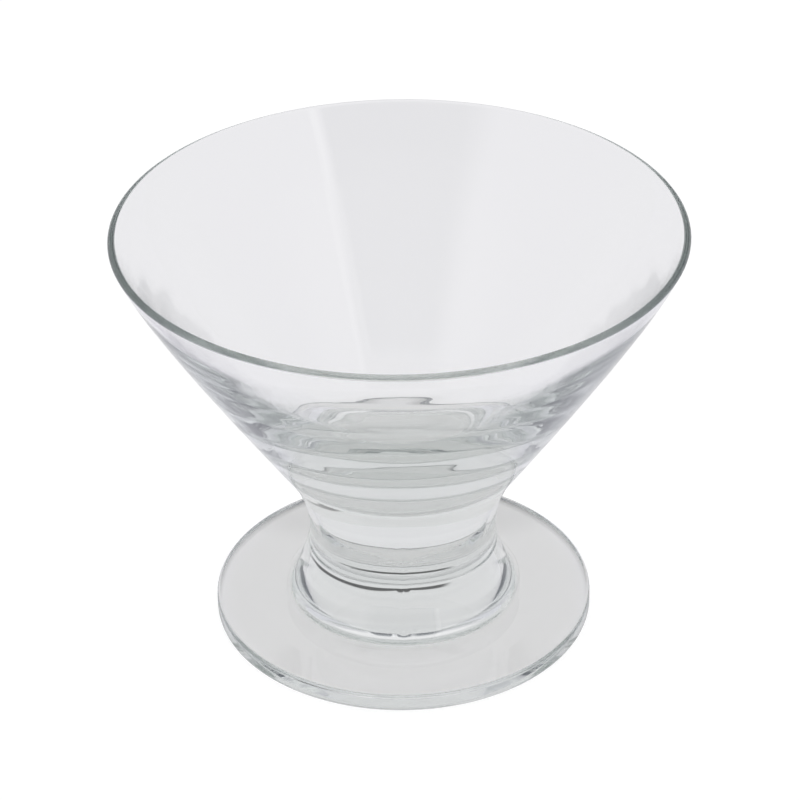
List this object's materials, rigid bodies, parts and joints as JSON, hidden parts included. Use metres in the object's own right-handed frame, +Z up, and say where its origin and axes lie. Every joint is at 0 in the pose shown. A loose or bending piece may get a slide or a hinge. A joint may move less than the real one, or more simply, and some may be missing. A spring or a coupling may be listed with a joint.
{
  "type": "ice cream glass",
  "caption": "Clear pressed-glass ice cream dish with a flaring open bowl, a rounded lip, a short solid waisted stem and a flat round foot.",
  "frame": {"origin": "centre of the standing ring, on the table", "axes": "+Z up along the axis that the glass is turned about; the glass is round, so +X and +Y are alike"},
  "size_m": [0.11, 0.11, 0.0864],
  "materials": {
    "clear_glass": "fire polished, colourless with a faint green edge"
  },
  "bodies": {
    "root": {"bowl": "clear_glass", "stem": "clear_glass", "foot": "clear_glass"}
  },
  "joints": []
}
